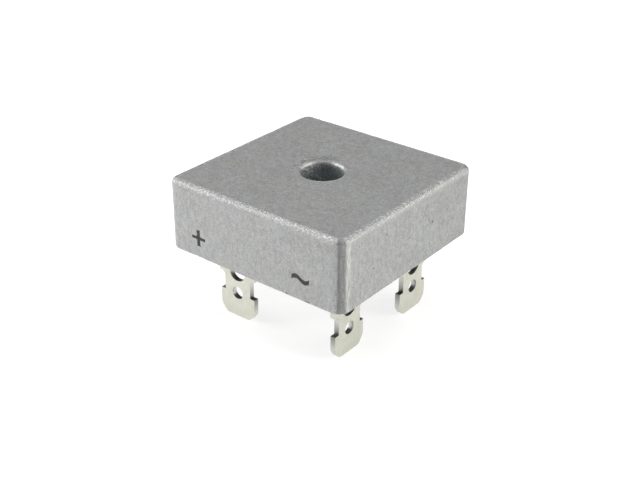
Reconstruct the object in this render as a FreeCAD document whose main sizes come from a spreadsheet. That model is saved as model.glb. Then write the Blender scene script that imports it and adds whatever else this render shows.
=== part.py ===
import FreeCAD, Part
import Sketcher
import math
import os

# Square metal-case bridge rectifier with four push-on tabs.
# Frame: +Z up, origin on the screw-hole axis at the level of the tab tips.
# The four tab tips are the lowest points (Z = 0), the mounting face is the top.
# -Y is the face that carries the polarity signs.

V = FreeCAD.Vector
doc = FreeCAD.newDocument("bridge_rectifier")
sheet = doc.addObject("Spreadsheet::Sheet", "Sizes")

SIZES = [
    # outer case, a square cup that is open towards the tabs
    ("case_side", 28.6),
    ("case_height", 10.1),
    ("case_corner", 1.5),
    ("case_top_round", 0.75),
    ("case_rim_round", 0.25),
    ("case_wall", 1.4),
    ("case_roof", 3.0),
    ("cavity_corner", 0.9),
    # centre boss and screw hole
    ("boss_radius", 4.3),
    ("bore_radius", 2.85),
    ("lip_round", 0.45),
    ("bore_break", 0.3),
    # levels above the tab tips
    ("tab_length", 10.35),
    ("potting_sink", 0.3),
    ("insulator_thick", 0.3),
    ("insulator_gap", 0.2),
    ("insulator_hole", 4.6),
    ("insulator_corner", 0.8),
    # die stack
    ("die_side", 5.0),
    ("die_thick", 0.30),
    ("solder_side", 4.7),
    ("solder_thick", 0.08),
    ("die_offset", 8.4),
    # sheet that the tabs are stamped from
    ("tab_thick", 0.8),
    ("blade_width", 6.0),
    ("neck_width", 4.5),
    ("root_width", 6.2),
    ("notch_top", 4.0),
    ("notch_bottom", 6.8),
    ("notch_round", 0.7),
    ("tip_chamfer_u", 0.9),
    ("tip_chamfer_v", 1.3),
    ("tip_round", 1.0),
    ("upper_hole_depth", 3.45),
    ("upper_hole_radius", 1.35),
    ("lower_hole_depth", 6.7),
    ("lower_hole_radius", 0.9),
    ("bend_inside", 0.4),
    # foot plates inside the case
    ("foot_outer", 11.0),
    ("foot_inner", 5.8),
    ("foot_reach", 2.6),
    ("relief_width", 0.4),
    ("relief_depth", 0.9),
    ("foot_round", 0.6),
    # where each tab stands: distance of its sheet and of its centre line
    ("plus_sheet", 9.2),
    ("plus_centre", 6.85),
    ("minus_sheet", 10.05),
    ("minus_centre", 6.94),
    ("front_sheet", 9.7),
    ("front_centre", 6.9),
    ("back_sheet", 9.7),
    ("back_centre", 6.9),
]
VAL = dict(SIZES)
for row, (alias, value) in enumerate(SIZES, 1):
    sheet.set("A%d" % row, alias)
    sheet.set("B%d" % row, str(value))
    sheet.setAlias("B%d" % row, alias)
doc.recompute()

# derived levels, as expressions of the sheet
RIM = "Sizes.tab_length"
FACE = "Sizes.tab_length + Sizes.case_height"
CEILING = "Sizes.tab_length + Sizes.case_height - Sizes.case_roof"
PLATE_TOP = CEILING
UPPER_TOP = CEILING + " - Sizes.insulator_thick"
UPPER_BOTTOM = UPPER_TOP + " - Sizes.tab_thick"
STACK = "2 * Sizes.solder_thick + Sizes.die_thick"
LOWER_TOP = UPPER_BOTTOM + " - (" + STACK + ")"
LOWER_BOTTOM = LOWER_TOP + " - Sizes.tab_thick"


def number(expression):
    """The value of an expression of the sheet, for a sketch's first guess."""
    text = expression
    for alias in sorted(VAL, key=len, reverse=True):
        text = text.replace("Sizes." + alias, repr(VAL[alias]))
    return read_sum(text)


def read_sum(text):
    """Value of a plain sum, difference, product and quotient with brackets."""
    tokens = []
    word = ""
    for ch in text:
        if ch in "+-*/() ":
            if word:
                tokens.append(float(word))
                word = ""
            if ch != " ":
                tokens.append(ch)
        else:
            word += ch
    if word:
        tokens.append(float(word))
    place = [0]

    def factor():
        tok = tokens[place[0]]
        place[0] += 1
        if tok == "(":
            value = total_of()
            place[0] += 1
            return value
        if tok == "-":
            return -factor()
        return tok

    def product():
        value = factor()
        while place[0] < len(tokens) and tokens[place[0]] in ("*", "/"):
            op = tokens[place[0]]
            place[0] += 1
            other = factor()
            value = value * other if op == "*" else value / other
        return value

    def total_of():
        value = product()
        while place[0] < len(tokens) and tokens[place[0]] in ("+", "-"):
            op = tokens[place[0]]
            place[0] += 1
            other = product()
            value = value + other if op == "+" else value - other
        return value

    return total_of()


def origin_plane(body, role):
    for feature in body.Origin.OriginFeatures:
        if feature.Role == role:
            return feature
    raise RuntimeError("no plane " + role)


def new_body(name):
    body = doc.addObject("PartDesign::Body", name)
    body.Label = name
    return body


def new_sketch(body, name, role, level=None):
    sketch = body.newObject("Sketcher::SketchObject", name)
    sketch.AttachmentSupport = [(origin_plane(body, role), "")]
    sketch.MapMode = "FlatFace"
    if level is not None:
        sketch.AttachmentOffset = FreeCAD.Placement(V(0, 0, number(level)), FreeCAD.Rotation())
        sketch.setExpression("AttachmentOffset.Base.z", level)
    return sketch


def place_point(sketch, geo, pos, name, x, y):
    """Fixes one sketch point to two expressions of the sheet."""
    for kind, axis, text in (("DistanceX", -2, x), ("DistanceY", -1, y)):
        value = number(text)
        if abs(value) < 1e-9:
            sketch.addConstraint(Sketcher.Constraint("PointOnObject", geo, pos, axis))
            continue
        index = sketch.addConstraint(Sketcher.Constraint(kind, geo, pos, value))
        label = name + ("_x" if kind == "DistanceX" else "_y")
        sketch.renameConstraint(index, label)
        sketch.setExpression("Constraints." + label, text)


def closed_outline(sketch, name, points):
    """A closed run of straight lines through points given as expressions."""
    where = [V(number(x), number(y), 0) for x, y in points]
    first = sketch.GeometryCount
    count = len(points)
    for i in range(count):
        sketch.addGeometry(Part.LineSegment(where[i], where[(i + 1) % count]), False)
    for i in range(count):
        sketch.addConstraint(Sketcher.Constraint(
            "Coincident", first + i, 2, first + (i + 1) % count, 1))
    for i in range(count):
        place_point(sketch, first + i, 1, "%s%d" % (name, i), points[i][0], points[i][1])


def circle(sketch, name, x, y, radius):
    centre = V(number(x), number(y), 0)
    geo = sketch.addGeometry(Part.Circle(centre, V(0, 0, 1), number(radius)), False)
    place_point(sketch, geo, 3, name, x, y)
    index = sketch.addConstraint(Sketcher.Constraint("Radius", geo, number(radius)))
    sketch.renameConstraint(index, name + "_r")
    sketch.setExpression("Constraints." + name + "_r", radius)


def square(sketch, name, half):
    minus = "-(" + half + ")"
    closed_outline(sketch, name, [(minus, minus), (half, minus), (half, half), (minus, half)])


def pad(body, sketch, name, length, reverse=False):
    feature = body.newObject("PartDesign::Pad", name)
    feature.Profile = sketch
    feature.Length = number(length)
    feature.setExpression("Length", length)
    feature.Reversed = reverse
    sketch.Visibility = False
    doc.recompute()
    return feature


def pocket(body, sketch, name, length, reverse=False):
    before = body.Shape.Volume
    feature = body.newObject("PartDesign::Pocket", name)
    feature.Profile = sketch
    feature.Length = number(length)
    feature.setExpression("Length", length)
    feature.Reversed = reverse
    doc.recompute()
    if not feature.Shape.Volume < before - 0.01:
        raise RuntimeError(name + " removed nothing")
    return feature


def edges_where(feature, test):
    """Names of the edges of a feature whose vertices and middle pass a test."""
    names = []
    for i, edge in enumerate(feature.Shape.Edges, 1):
        middle = edge.valueAt((edge.FirstParameter + edge.LastParameter) / 2.0)
        if test(edge, [v.Point for v in edge.Vertexes], middle):
            names.append("Edge%d" % i)
    return names


def round_edges(body, base, names, name, radius):
    if not names:
        raise RuntimeError(name + " found no edges")
    feature = body.newObject("PartDesign::Fillet", name)
    feature.Base = (base, names)
    feature.Radius = number(radius)
    feature.setExpression("Radius", radius)
    doc.recompute()
    return feature


def break_edges(body, base, names, name, size):
    if not names:
        raise RuntimeError(name + " found no edges")
    feature = body.newObject("PartDesign::Chamfer", name)
    feature.Base = (base, names)
    feature.Size = number(size)
    feature.setExpression("Size", size)
    doc.recompute()
    return feature


def near(a, b, tolerance=1e-4):
    return abs(a - b) < tolerance


HALF = "Sizes.case_side / 2"
INNER = "Sizes.case_side / 2 - Sizes.case_wall"

# ---------------------------------------------------------------- case
# One block of metal: roof, four walls and a centre boss that the screw passes.
case = new_body("case")
sk = new_sketch(case, "case_outline", "XY_Plane", RIM)
square(sk, "c", HALF)
block = pad(case, sk, "case_block", "Sizes.case_height")
upright = edges_where(block, lambda e, p, m: len(p) == 2 and near(p[0].x, p[1].x) and near(p[0].y, p[1].y))
corners = round_edges(case, block, upright, "case_corners", "Sizes.case_corner")
face_level = number(FACE)
rim_level = number(RIM)
top_edges = edges_where(corners, lambda e, p, m: all(near(q.z, face_level) for q in p))
shoulder = round_edges(case, corners, top_edges, "case_top_rounding", "Sizes.case_top_round")
rim_edges = edges_where(shoulder, lambda e, p, m: all(near(q.z, rim_level) for q in p))
rim = round_edges(case, shoulder, rim_edges, "case_rim_rounding", "Sizes.case_rim_round")

# cavity round the boss, cut from the rim up to the roof
sk = new_sketch(case, "cavity_outline", "XY_Plane", RIM)
square(sk, "k", INNER)
circle(sk, "boss", "0", "0", "Sizes.boss_radius")
cavity = pocket(case, sk, "cavity", "Sizes.case_height - Sizes.case_roof", reverse=True)
inner_half = number(INNER)
ceiling = number(CEILING)
inside_corners = edges_where(cavity, lambda e, p, m: len(p) == 2 and near(p[0].x, p[1].x)
                             and near(p[0].y, p[1].y) and near(abs(p[0].x), inner_half)
                             and near(abs(p[0].y), inner_half))
cavity_round = round_edges(case, cavity, inside_corners, "cavity_corners", "Sizes.cavity_corner")

# screw hole right through the boss and the roof
sk = new_sketch(case, "bore_outline", "XY_Plane", RIM)
circle(sk, "bore", "0", "0", "Sizes.bore_radius")
bore = pocket(case, sk, "bore", "Sizes.case_height", reverse=True)
bore_r = VAL["bore_radius"]
upper_lip = edges_where(bore, lambda e, p, m: near(m.z, face_level) and near(math.hypot(m.x, m.y), bore_r))
lip = round_edges(case, bore, upper_lip, "bore_lip", "Sizes.lip_round")
lower_lip = edges_where(lip, lambda e, p, m: near(m.z, rim_level) and near(math.hypot(m.x, m.y), bore_r))
mouth = break_edges(case, lip, lower_lip, "bore_mouth", "Sizes.bore_break")
case.Tip = mouth

# ---------------------------------------------------------------- insulator
# Thin ceramic plate under the roof, with a hole that clears the boss.
insulator = new_body("insulator_plate")
sk = new_sketch(insulator, "insulator_outline", "XY_Plane", UPPER_TOP)
square(sk, "n", INNER + " - Sizes.insulator_gap")
circle(sk, "hole", "0", "0", "Sizes.insulator_hole")
plate = pad(insulator, sk, "insulator_pad", "Sizes.insulator_thick")
plate_half = inner_half - VAL["insulator_gap"]
plate_corners = edges_where(plate, lambda e, p, m: len(p) == 2 and near(p[0].x, p[1].x)
                            and near(p[0].y, p[1].y) and near(abs(p[0].x), plate_half)
                            and near(abs(p[0].y), plate_half))
plate_round = round_edges(insulator, plate, plate_corners, "insulator_corners", "Sizes.insulator_corner")
insulator.Tip = plate_round


# ---------------------------------------------------------------- tabs
# Each tab is one stamping: a blade that hangs down, and an L-shaped foot plate
# that is bent inwards at a right angle and carries two dies.
# It is drawn with the sheet's middle plane on local Y = 0 and the blade's
# centre line on local X = 0, and then turned and moved to its corner.
def make_tab(name, top, sheet_at, centre_at, side):
    body = new_body(name)
    half_t = "Sizes.tab_thick / 2"
    hr = "Sizes.root_width / 2"
    hn = "Sizes.neck_width / 2"
    hb = "Sizes.blade_width / 2"
    level = "Sizes.tab_length"
    z_up = level + " - Sizes.notch_top"
    z_low = level + " - Sizes.notch_bottom"
    sk = new_sketch(body, name + "_blade_outline", "XZ_Plane", "-(" + half_t + ")")
    closed_outline(sk, "b", [
        ("-(" + hr + ")", top), ("-(" + hr + ")", z_up), ("-(" + hn + ")", z_up),
        ("-(" + hn + ")", z_low), ("-(" + hb + ")", z_low),
        ("-(" + hb + ")", "Sizes.tip_chamfer_v"),
        ("-(" + hb + " - Sizes.tip_chamfer_u)", "0"),
        (hb + " - Sizes.tip_chamfer_u", "0"),
        (hb, "Sizes.tip_chamfer_v"), (hb, z_low), (hn, z_low), (hn, z_up), (hr, z_up), (hr, top),
    ])
    blade = pad(body, sk, name + "_blade", "Sizes.tab_thick")
    box = blade.Shape.BoundBox
    if not (near(box.YMin, -VAL["tab_thick"] / 2) and near(box.YMax, VAL["tab_thick"] / 2)):
        raise RuntimeError(name + " blade is off its plane: %g %g" % (box.YMin, box.YMax))

    # foot plate, at the top of the blade
    sk = new_sketch(body, name + "_foot_outline", "XY_Plane", top)

    def at(u):
        return u if side > 0 else "-(" + u + ")"

    lat_out = "-(Sizes.foot_outer - " + centre_at + ")"
    lat_in = centre_at + " - Sizes.foot_inner"
    run_out = "-(Sizes.foot_outer - " + sheet_at + ")"
    run_in = sheet_at + " - Sizes.foot_inner"
    u_end = centre_at + " + Sizes.foot_reach"
    y_end = sheet_at + " + Sizes.foot_reach"
    relief = hr + " + Sizes.relief_width"
    corner_points = [
        (at("-(" + hr + ")"), "-(" + half_t + ")"),
        (at(hr), "-(" + half_t + ")"),
        (at(hr), "Sizes.relief_depth"),
        (at(relief), "Sizes.relief_depth"),
        (at(relief), run_out),
        (at(u_end), run_out),
        (at(u_end), run_in),
        (at(lat_in), run_in),
        (at(lat_in), y_end),
        (at(lat_out), y_end),
        (at(lat_out), "Sizes.relief_depth"),
        (at("-(" + hr + ")"), "Sizes.relief_depth"),
    ]
    closed_outline(sk, "f", corner_points)
    foot = pad(body, sk, name + "_foot", "Sizes.tab_thick", reverse=True)
    box = foot.Shape.BoundBox
    if not near(box.ZMax, number(top)):
        raise RuntimeError(name + " foot stands above the blade")

    # two wire and latch holes through the blade
    sk = new_sketch(body, name + "_hole_outline", "XZ_Plane", "Sizes.tab_thick")
    circle(sk, "up", "0", level + " - Sizes.upper_hole_depth", "Sizes.upper_hole_radius")
    circle(sk, "low", "0", level + " - Sizes.lower_hole_depth", "Sizes.lower_hole_radius")
    holes = pocket(body, sk, name + "_holes", "2 * Sizes.tab_thick")

    # the bend between blade and foot: rounded outside and inside
    t2 = VAL["tab_thick"] / 2
    top_z = number(top)
    bend_out = edges_where(holes, lambda e, p, m: len(p) == 2 and near(m.y, -t2) and near(m.z, top_z)
                           and near(m.x, 0, 0.01))
    outer = round_edges(body, holes, bend_out, name + "_bend_outside",
                        "Sizes.tab_thick + Sizes.bend_inside")
    bend_in = edges_where(outer, lambda e, p, m: len(p) == 2 and near(m.y, t2)
                          and near(m.z, top_z - VAL["tab_thick"]) and near(m.x, 0, 0.5))
    inner = round_edges(body, outer, bend_in, name + "_bend_inside", "Sizes.bend_inside")

    # rounded corners of the notches' upper ends and of the tip
    zu = number(z_up)
    hn_v = VAL["neck_width"] / 2
    notch = edges_where(inner, lambda e, p, m: len(p) == 2 and near(m.y, 0) and near(m.z, zu)
                        and near(abs(m.x), hn_v))
    relieved = round_edges(body, inner, notch, name + "_notch_round", "Sizes.notch_round")
    hb_v = VAL["blade_width"] / 2
    tips = edges_where(relieved, lambda e, p, m: len(p) == 2 and near(m.y, 0) and (
        (near(m.z, 0) and near(abs(m.x), hb_v - VAL["tip_chamfer_u"])) or
        (near(m.z, VAL["tip_chamfer_v"]) and near(abs(m.x), hb_v))))
    if len(tips) != 4:
        raise RuntimeError(name + " tip has %d corners" % len(tips))
    tipped = round_edges(body, relieved, tips, name + "_tip_round", "Sizes.tip_round")

    # rounded corners of the foot plate
    y_end_v = number(y_end)
    u_end_v = number(u_end) * side
    foot_corners = edges_where(tipped, lambda e, p, m: len(p) == 2 and near(p[0].x, p[1].x)
                               and near(p[0].y, p[1].y) and (near(m.y, y_end_v) or near(m.x, u_end_v)))
    if len(foot_corners) != 4:
        raise RuntimeError(name + " foot has %d corners" % len(foot_corners))
    done = round_edges(body, tipped, foot_corners, name + "_foot_round", "Sizes.foot_round")
    body.Tip = done
    return body


plus = make_tab("terminal_positive", UPPER_TOP, "Sizes.plus_sheet", "Sizes.plus_centre", 1)
minus = make_tab("terminal_negative", UPPER_TOP, "Sizes.minus_sheet", "Sizes.minus_centre", -1)
front = make_tab("terminal_ac_front", LOWER_TOP, "Sizes.front_sheet", "Sizes.front_centre", 1)
back = make_tab("terminal_ac_back", LOWER_TOP, "Sizes.back_sheet", "Sizes.back_centre", 1)


def put(body, angle, x, y):
    """Turns a tab about Z and moves it, with the distances bound to the sheet."""
    body.Placement = FreeCAD.Placement(V(number(x), number(y), 0), FreeCAD.Rotation(V(0, 0, 1), angle))
    body.setExpression("Placement.Base.x", x)
    body.setExpression("Placement.Base.y", y)


put(plus, 0, "-Sizes.plus_centre", "-Sizes.plus_sheet")
put(minus, 90, "Sizes.minus_sheet", "Sizes.minus_centre")
put(front, 90, "Sizes.front_sheet", "-Sizes.front_centre")
put(back, -90, "-Sizes.back_sheet", "Sizes.back_centre")
doc.recompute()


# ---------------------------------------------------------------- dies and solder
# Each die lies between an upper (direct-current) and a lower (alternating-
# current) foot plate, with a solder layer above and below it.
def slab(name, side, thick, bottom, x, y):
    box = doc.addObject("Part::Box", name)
    box.Label = name
    for prop in ("Length", "Width"):
        box.setExpression(prop, side)
    box.setExpression("Height", thick)
    box.Placement = FreeCAD.Placement(V(number(x + " - " + side + " / 2"),
                                        number(y + " - " + side + " / 2"), number(bottom)),
                                      FreeCAD.Rotation())
    box.setExpression("Placement.Base.x", x + " - " + side + " / 2")
    box.setExpression("Placement.Base.y", y + " - " + side + " / 2")
    box.setExpression("Placement.Base.z", bottom)
    return box


OFF = "Sizes.die_offset"
SEATS = [
    ("positive_front", "0", "-" + OFF),
    ("positive_back", "-" + OFF, "0"),
    ("negative_front", OFF, "0"),
    ("negative_back", "0", OFF),
]
stack_parts = []
for seat, x, y in SEATS:
    stack_parts.append(slab("solder_below_" + seat, "Sizes.solder_side", "Sizes.solder_thick",
                            LOWER_TOP, x, y))
    stack_parts.append(slab("diode_" + seat, "Sizes.die_side", "Sizes.die_thick",
                            LOWER_TOP + " + Sizes.solder_thick", x, y))
    stack_parts.append(slab("solder_above_" + seat, "Sizes.solder_side", "Sizes.solder_thick",
                            LOWER_TOP + " + Sizes.solder_thick + Sizes.die_thick", x, y))
doc.recompute()

# ---------------------------------------------------------------- potting
# Cast resin that fills the cup up to just short of the rim, round everything in it.
fill = new_body("potting_block")
sk = new_sketch(fill, "fill_outline", "XY_Plane", "Sizes.tab_length + Sizes.potting_sink")
square(sk, "p", INNER)
circle(sk, "boss", "0", "0", "Sizes.boss_radius")
fill_pad = pad(fill, sk, "fill_pad", "Sizes.case_height - Sizes.case_roof - Sizes.potting_sink")
fill_corners = edges_where(fill_pad, lambda e, p, m: len(p) == 2 and near(p[0].x, p[1].x)
                           and near(p[0].y, p[1].y) and near(abs(p[0].x), inner_half)
                           and near(abs(p[0].y), inner_half))
fill_round = round_edges(fill, fill_pad, fill_corners, "fill_corners", "Sizes.cavity_corner")
fill.Tip = fill_round
doc.recompute()

inside = doc.addObject("Part::MultiFuse", "everything_inside")
inside.Shapes = [insulator, plus, minus, front, back] + stack_parts
potting = doc.addObject("Part::Cut", "potting")
potting.Label = "potting"
potting.Base = fill
potting.Tool = inside
doc.recompute()

# ---------------------------------------------------------------- checks and files
SUBPARTS = [case, potting, insulator, plus, minus, front, back] + stack_parts
for obj in doc.Objects:
    if "Invalid" in obj.State or "Error" in obj.State:
        raise RuntimeError("failed object: %s %s" % (obj.Name, obj.State))
for obj in SUBPARTS:
    shape = obj.Shape
    if shape.isNull() or not shape.isValid():
        raise RuntimeError("bad shape: " + obj.Label)
    box = shape.BoundBox
    print("%-28s solids %d volume %9.3f  x %7.3f %7.3f  y %7.3f %7.3f  z %7.3f %7.3f" % (
        obj.Label, len(shape.Solids), shape.Volume, box.XMin, box.XMax, box.YMin, box.YMax,
        box.ZMin, box.ZMax))

os.makedirs("parts", exist_ok=True)
for obj in SUBPARTS:
    obj.Shape.exportStep("parts/" + obj.Label + ".step")
print("wrote %d files" % len(SUBPARTS))
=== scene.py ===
import math

import bmesh
import bpy
from mathutils import Matrix, Vector, geometry, noise


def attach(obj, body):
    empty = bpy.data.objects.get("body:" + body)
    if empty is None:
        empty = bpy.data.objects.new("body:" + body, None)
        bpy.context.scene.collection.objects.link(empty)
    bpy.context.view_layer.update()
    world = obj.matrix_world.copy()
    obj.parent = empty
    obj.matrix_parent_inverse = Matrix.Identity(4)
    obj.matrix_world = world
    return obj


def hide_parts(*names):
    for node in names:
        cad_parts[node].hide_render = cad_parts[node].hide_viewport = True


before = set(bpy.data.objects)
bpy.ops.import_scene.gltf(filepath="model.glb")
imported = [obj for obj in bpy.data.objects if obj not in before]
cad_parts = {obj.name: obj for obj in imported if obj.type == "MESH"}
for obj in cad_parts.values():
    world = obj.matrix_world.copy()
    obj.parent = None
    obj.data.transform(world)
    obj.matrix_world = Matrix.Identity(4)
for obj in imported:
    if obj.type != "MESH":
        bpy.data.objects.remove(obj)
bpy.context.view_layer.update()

MM = 0.001

# ------------------------------------------------------------------ sizes, mm
# The same numbers as the construction: a square cup with a centre boss.
HALF = 14.3
CORNER = 1.5
FACE = 20.45
RIM = 10.35
TOP_ROUND = 0.75
RIM_ROUND = 0.25
INNER = 12.9
INNER_CORNER = 0.9
CEILING = 17.45
BOSS = 4.3
BORE = 2.85
LIP = 0.45
MOUTH = 0.3
RESIN = 10.65

# tab: sheet centre x, y and whether the sheet's wide way runs along X
TABS = {
    "terminal_positive": (-6.85, -9.2, True),
    "terminal_negative": (10.05, 6.94, False),
    "terminal_ac_front": (9.7, -6.9, False),
    "terminal_ac_back": (-9.7, 6.9, False),
}
ROOT_HALF = 3.1
SHEET_HALF = 0.4


# ------------------------------------------------------------------ helpers
def clamp(x, low=0.0, high=1.0):
    return max(low, min(high, x))


def smooth(low, high, x):
    t = clamp((x - low) / (high - low))
    return t * t * (3 - 2 * t)


def wave(x, y, z, size, seed=0.0):
    """Smooth noise from -1 to 1 whose bumps are about `size` mm across."""
    return clamp(1.6 * noise.noise(Vector((x / size + seed, y / size - 2.3 * seed, z / size + 0.7 * seed))), -1, 1)


def new_object(name, bm_or_mesh, material):
    if isinstance(bm_or_mesh, bpy.types.Mesh):
        mesh = bm_or_mesh
    else:
        mesh = bpy.data.meshes.new(name)
        bm_or_mesh.to_mesh(mesh)
        bm_or_mesh.free()
    mesh.materials.clear()
    mesh.materials.append(material)
    obj = bpy.data.objects.new(name, mesh)
    bpy.context.scene.collection.objects.link(obj)
    return obj


def shade(bm, angle):
    """Smooth faces with sharp edges where two faces meet at more than `angle` degrees."""
    limit = math.radians(angle)
    for f in bm.faces:
        f.smooth = True
    for e in bm.edges:
        e.smooth = not (len(e.link_faces) == 2 and e.calc_face_angle(0.0) > limit)


# ------------------------------------------------------------------ materials
class Nodes:
    """A small writer of node trees."""

    def __init__(self, name):
        self.mat = bpy.data.materials.new(name)
        self.mat.use_nodes = True
        self.tree = self.mat.node_tree
        self.tree.nodes.clear()
        self.out = self.tree.nodes.new("ShaderNodeOutputMaterial")
        self.skin = self.tree.nodes.new("ShaderNodeBsdfPrincipled")
        self.tree.links.new(self.skin.outputs[0], self.out.inputs["Surface"])
        self.coord = self.tree.nodes.new("ShaderNodeTexCoord").outputs["Object"]
        split = self.tree.nodes.new("ShaderNodeSeparateXYZ")
        self.link(self.coord, split.inputs[0])
        self.x, self.y, self.z = split.outputs

    def link(self, a, b):
        self.tree.links.new(a, b)

    def feed(self, socket, value):
        if isinstance(value, (int, float)):
            socket.default_value = value
        elif isinstance(value, (tuple, list)):
            socket.default_value = tuple(value) + ((1.0,) if len(socket.default_value) == 4 and len(value) == 3 else ())
        else:
            self.link(value, socket)

    def math(self, op, a, b=None, c=None, cut=False):
        n = self.tree.nodes.new("ShaderNodeMath")
        n.operation = op
        n.use_clamp = cut
        for i, v in enumerate((a, b, c)):
            if v is not None:
                self.feed(n.inputs[i], v)
        return n.outputs[0]

    def step(self, low, high, value):
        """0 below low, 1 above high, smooth between."""
        n = self.tree.nodes.new("ShaderNodeMapRange")
        n.interpolation_type = "SMOOTHSTEP"
        self.feed(n.inputs["Value"], value)
        n.inputs["From Min"].default_value = low
        n.inputs["From Max"].default_value = high
        return n.outputs[0]

    def span(self, low, high, to_low, to_high, value):
        n = self.tree.nodes.new("ShaderNodeMapRange")
        self.feed(n.inputs["Value"], value)
        for key, v in (("From Min", low), ("From Max", high), ("To Min", to_low), ("To Max", to_high)):
            n.inputs[key].default_value = v
        return n.outputs[0]

    def noise(self, size, detail=2.0, rough=0.5, stretch=(1, 1, 1), shift=0.0, twist=0.0):
        """Noise with features about `size` mm across, centred on 0.5."""
        m = self.tree.nodes.new("ShaderNodeMapping")
        self.link(self.coord, m.inputs["Vector"])
        m.inputs["Location"].default_value = (shift, shift * 0.37, -shift * 0.71)
        m.inputs["Scale"].default_value = tuple(1.0 / (size * MM * s) for s in stretch)
        n = self.tree.nodes.new("ShaderNodeTexNoise")
        self.link(m.outputs[0], n.inputs["Vector"])
        n.inputs["Scale"].default_value = 1.0
        n.inputs["Detail"].default_value = detail
        n.inputs["Roughness"].default_value = rough
        n.inputs["Distortion"].default_value = twist
        return n.outputs["Fac"]

    def cells(self, size, feature="F1", shift=0.0, random=1.0):
        m = self.tree.nodes.new("ShaderNodeMapping")
        self.link(self.coord, m.inputs["Vector"])
        m.inputs["Location"].default_value = (shift, -shift, shift * 0.5)
        m.inputs["Scale"].default_value = (1.0 / (size * MM),) * 3
        n = self.tree.nodes.new("ShaderNodeTexVoronoi")
        n.feature = feature
        self.link(m.outputs[0], n.inputs["Vector"])
        n.inputs["Scale"].default_value = 1.0
        n.inputs["Randomness"].default_value = random
        return n

    def attribute(self, name):
        n = self.tree.nodes.new("ShaderNodeAttribute")
        n.attribute_type = "GEOMETRY"
        n.attribute_name = name
        return n.outputs["Fac"]

    def mix(self, fac, a, b):
        n = self.tree.nodes.new("ShaderNodeMix")
        n.data_type = "RGBA"
        self.feed(n.inputs["Factor"], fac)
        self.feed(n.inputs["A"] if False else n.inputs[6], a)
        self.feed(n.inputs[7], b)
        return n.outputs[2]

    def scaled(self, colour, factor):
        """A colour times a grey factor."""
        n = self.tree.nodes.new("ShaderNodeVectorMath")
        n.operation = "SCALE"
        self.feed(n.inputs[0], colour)
        self.feed(n.inputs["Scale"], factor)
        return n.outputs[0]

    def bump(self, height, depth, normal=None, strength=1.0):
        """Height 0 to 1 times a depth in mm."""
        n = self.tree.nodes.new("ShaderNodeBump")
        n.inputs["Strength"].default_value = strength
        n.inputs["Distance"].default_value = depth * MM
        self.feed(n.inputs["Height"], height)
        if normal is not None:
            self.link(normal, n.inputs["Normal"])
        return n.outputs[0]

    def set(self, key, value):
        self.feed(self.skin.inputs[key], value)


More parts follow.
